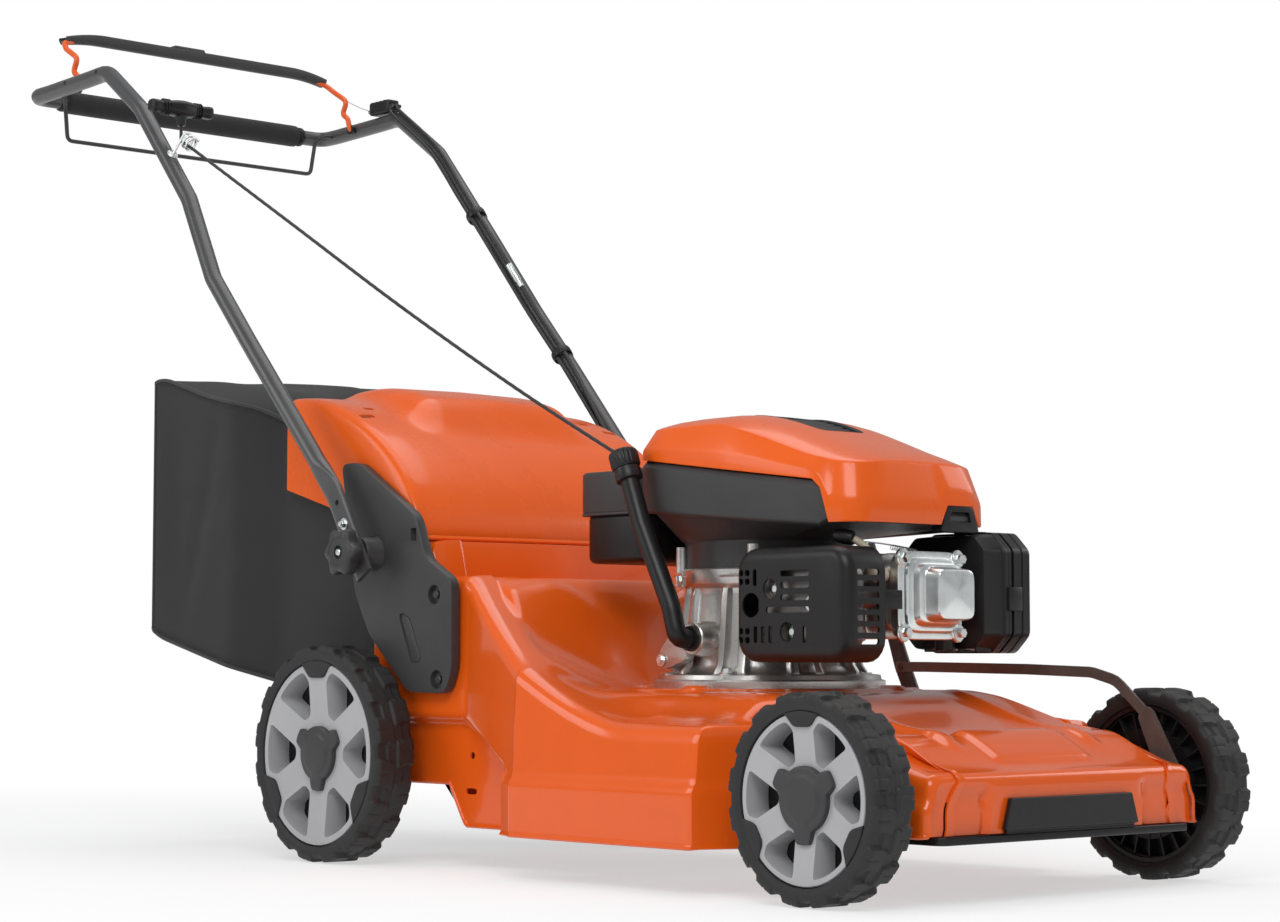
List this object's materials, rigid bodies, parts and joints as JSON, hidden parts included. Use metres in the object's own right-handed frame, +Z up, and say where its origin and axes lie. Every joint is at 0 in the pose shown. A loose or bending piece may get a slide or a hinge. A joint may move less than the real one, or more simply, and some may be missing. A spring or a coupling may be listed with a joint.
{
  "type": "lawn mower",
  "caption": "Walk-behind petrol lawn mower with a stamped deck, upright engine, grass bag, folding handle and coupled height adjustment.",
  "frame": {"origin": "on the ground under the middle of the whole machine", "axes": "+X towards the front wheels, +Y to the machine's left, +Z up"},
  "size_m": [1.6898, 0.585, 1.1305],
  "materials": {
    "orange_paint": "high gloss",
    "orange_plastic": "gloss",
    "black_plastic": "fine grain",
    "grey_plastic": "fine grain",
    "pale_plastic": "satin",
    "tyre_rubber": "matte",
    "black_steel": "satin powder coat",
    "bare_steel": "brushed",
    "zinc": "bright zinc plate",
    "cast_aluminium": "as cast",
    "black_fabric": "woven",
    "cream_rubber": "satin",
    "foam": "matte foam"
  },
  "bodies": {
    "chassis": {"deck": "orange_paint", "nose_trim": "black_plastic", "handle_bracket_left": "grey_plastic", "handle_bracket_right": "grey_plastic", "crankcase": "cast_aluminium", "cylinder": "cast_aluminium", "valve_cover": "zinc", "muffler": "black_steel", "muffler_guard": "black_plastic", "plug_lead": "cream_rubber", "carburettor": "black_plastic", "air_filter_base": "black_plastic", "shroud": "grey_plastic", "engine_cover": "orange_plastic", "fuel_tank": "grey_plastic", "oil_filler_tube": "black_plastic", "drive_belt": "black_plastic", "starter_rope": "black_plastic"},
    "crankshaft": {"crankshaft": "bare_steel", "flywheel": "cast_aluminium", "blade_adapter": "cast_aluminium", "blade": "bare_steel"},
    "starter_pulley": {"starter_pulley": "black_plastic"},
    "gearbox_pulley": {"gearbox_pulley": "black_steel"},
    "front_axle": {"front_axle": "black_steel"},
    "rear_crank": {"rear_crank": "black_steel", "rear_axle": "bare_steel", "gearbox": "cast_aluminium"},
    "height_strap": {"height_strap": "bare_steel"},
    "height_lever": {"height_lever": "black_steel"},
    "rear_flap": {"rear_flap": "orange_plastic"},
    "grass_bag": {"grass_bag": "black_fabric", "bag_frame": "black_steel"},
    "handle": {"handlebar": "black_steel", "foam_grip": "foam", "cable_box": "black_plastic", "brake_cable": "black_plastic", "drive_cable": "black_plastic", "rope_guide": "zinc"},
    "clamp_knob_left": {"clamp_knob_left": "grey_plastic"},
    "clamp_knob_right": {"clamp_knob_right": "grey_plastic"},
    "stop_bail": {"stop_bail": "orange_plastic", "bail_cover": "grey_plastic"},
    "drive_bail": {"drive_bail": "black_steel"},
    "starter_grip": {"starter_grip": "black_plastic"},
    "fuel_cap": {"fuel_cap": "black_plastic"},
    "dipstick": {"dipstick": "black_plastic"},
    "air_filter_cover": {"air_filter_cover": "black_plastic"},
    "wheel_front_left": {"tyre_front_left": "tyre_rubber", "rim_front_left": "pale_plastic", "hub_cap_front_left": "grey_plastic"},
    "wheel_front_right": {"tyre_front_right": "tyre_rubber", "rim_front_right": "pale_plastic", "hub_cap_front_right": "grey_plastic"},
    "wheel_rear_left": {"tyre_rear_left": "tyre_rubber", "rim_rear_left": "pale_plastic", "hub_cap_rear_left": "grey_plastic"},
    "wheel_rear_right": {"tyre_rear_right": "tyre_rubber", "rim_rear_right": "pale_plastic", "hub_cap_rear_right": "grey_plastic"}
  },
  "joints": [
    {"name": "height_adjust", "type": "hinge", "parent": "chassis", "child": "height_lever", "pos_m": [0.38165, 0.2848, 0.1553], "axis": [0, 1, 0], "range_deg": [-22, 22]},
    {"name": "front_axle_swing", "type": "hinge", "parent": "chassis", "child": "front_axle", "pos_m": [0.79585, 0, 0.1043], "axis": [0, 1, 0], "range_deg": [-22, 22]},
    {"name": "rear_crank_swing", "type": "hinge", "parent": "chassis", "child": "rear_crank", "pos_m": [-0.01515, 0, 0.1279], "axis": [0, 1, 0], "range_deg": [-22, 22], "deforming": ["drive_belt"]},
    {"name": "strap_pin", "type": "hinge", "parent": "front_axle", "child": "height_strap", "pos_m": [0.75505, 0.229, 0.1793], "axis": [0, 1, 0], "range_deg": [-22, 22]},
    {"name": "wheel_spin_front_right", "type": "hinge", "parent": "front_axle", "child": "wheel_front_right", "pos_m": [0.74085, -0.26465, 0.1043], "axis": [0, 1, 0], "continuous": true},
    {"name": "wheel_spin_front_left", "type": "hinge", "parent": "front_axle", "child": "wheel_front_left", "pos_m": [0.74085, 0.26465, 0.1043], "axis": [0, 1, 0], "continuous": true},
    {"name": "wheel_spin_rear_right", "type": "hinge", "parent": "rear_crank", "child": "wheel_rear_right", "pos_m": [-0.07015, -0.26465, 0.1279], "axis": [0, 1, 0], "continuous": true},
    {"name": "wheel_spin_rear_left", "type": "hinge", "parent": "rear_crank", "child": "wheel_rear_left", "pos_m": [-0.07015, 0.26465, 0.1279], "axis": [0, 1, 0], "continuous": true},
    {"name": "crankshaft_spin", "type": "hinge", "parent": "chassis", "child": "crankshaft", "pos_m": [0.40085, 0, 0.066], "axis": [0, 0, 1], "continuous": true},
    {"name": "gearbox_pulley_spin", "type": "hinge", "parent": "rear_crank", "child": "gearbox_pulley", "pos_m": [-0.04015, 0, 0.172], "axis": [0, 0, 1], "continuous": true},
    {"name": "starter_pulley_spin", "type": "hinge", "parent": "chassis", "child": "starter_pulley", "pos_m": [0.40085, 0, 0.4], "axis": [0, 0, 1], "range_deg": [0, 660]},
    {"name": "starter_grip_pull", "type": "slide", "parent": "handle", "child": "starter_grip", "axis": [-0.2, 0, 0.9798], "range_m": [0, 0.45], "deforming": ["starter_rope"]},
    {"name": "rear_flap_hinge", "type": "hinge", "parent": "chassis", "child": "rear_flap", "pos_m": [0.04085, 0, 0.378], "axis": [0, 1, 0], "range_deg": [0, 28]},
    {"name": "grass_bag_slide", "type": "slide", "parent": "chassis", "child": "grass_bag", "axis": [-1, 0, 0], "range_m": [0, 0.45]},
    {"name": "handle_fold", "type": "hinge", "parent": "chassis", "child": "handle", "pos_m": [-0.02915, 0, 0.365], "axis": [0, 1, 0], "range_deg": [0, 125], "deforming": ["starter_rope", "brake_cable", "drive_cable"]},
    {"name": "clamp_knob_left_turn", "type": "hinge", "parent": "chassis", "child": "clamp_knob_left", "pos_m": [-0.02915, 0.2554, 0.365], "axis": [0, 1, 0], "range_deg": [0, 720]},
    {"name": "clamp_knob_right_turn", "type": "hinge", "parent": "chassis", "child": "clamp_knob_right", "pos_m": [-0.02915, -0.2554, 0.365], "axis": [0, -1, 0], "range_deg": [0, 720]},
    {"name": "stop_bail_hinge", "type": "hinge", "parent": "handle", "child": "stop_bail", "pos_m": [-0.73315, 0, 1.033], "axis": [0, -1, 0], "range_deg": [0, 41], "stiffness_Nm_per_rad": 3, "springref_deg": -20.05},
    {"name": "drive_bail_hinge", "type": "hinge", "parent": "handle", "child": "drive_bail", "pos_m": [-0.78915, 0, 1.03], "axis": [0, 1, 0], "range_deg": [0, 35], "stiffness_Nm_per_rad": 1.5, "springref_deg": -20.05},
    {"name": "fuel_cap_turn", "type": "hinge", "parent": "chassis", "child": "fuel_cap", "pos_m": [0.24485, 0.045, 0.4483], "axis": [0, 0, 1], "range_deg": [0, 90]},
    {"name": "dipstick_pull", "type": "slide", "parent": "chassis", "child": "dipstick", "axis": [-0.3675, 0, 0.93], "range_m": [0, 0.06]},
    {"name": "air_filter_cover_hinge", "type": "hinge", "parent": "chassis", "child": "air_filter_cover", "pos_m": [0.59735, 0.1103, 0.244], "axis": [-1, 0, 0], "range_deg": [0, 50]}
  ],
  "couplings": [
    {"joint": "front_axle_swing", "follows": "height_adjust", "ratio": 1},
    {"joint": "rear_crank_swing", "follows": "height_adjust", "ratio": 1},
    {"joint": "strap_pin", "follows": "height_adjust", "ratio": -1},
    {"joint": "gearbox_pulley_spin", "follows": "crankshaft_spin", "ratio": 0.85714},
    {"joint": "starter_pulley_spin", "follows": "starter_grip_pull", "rad_per_m": 25}
  ]
}
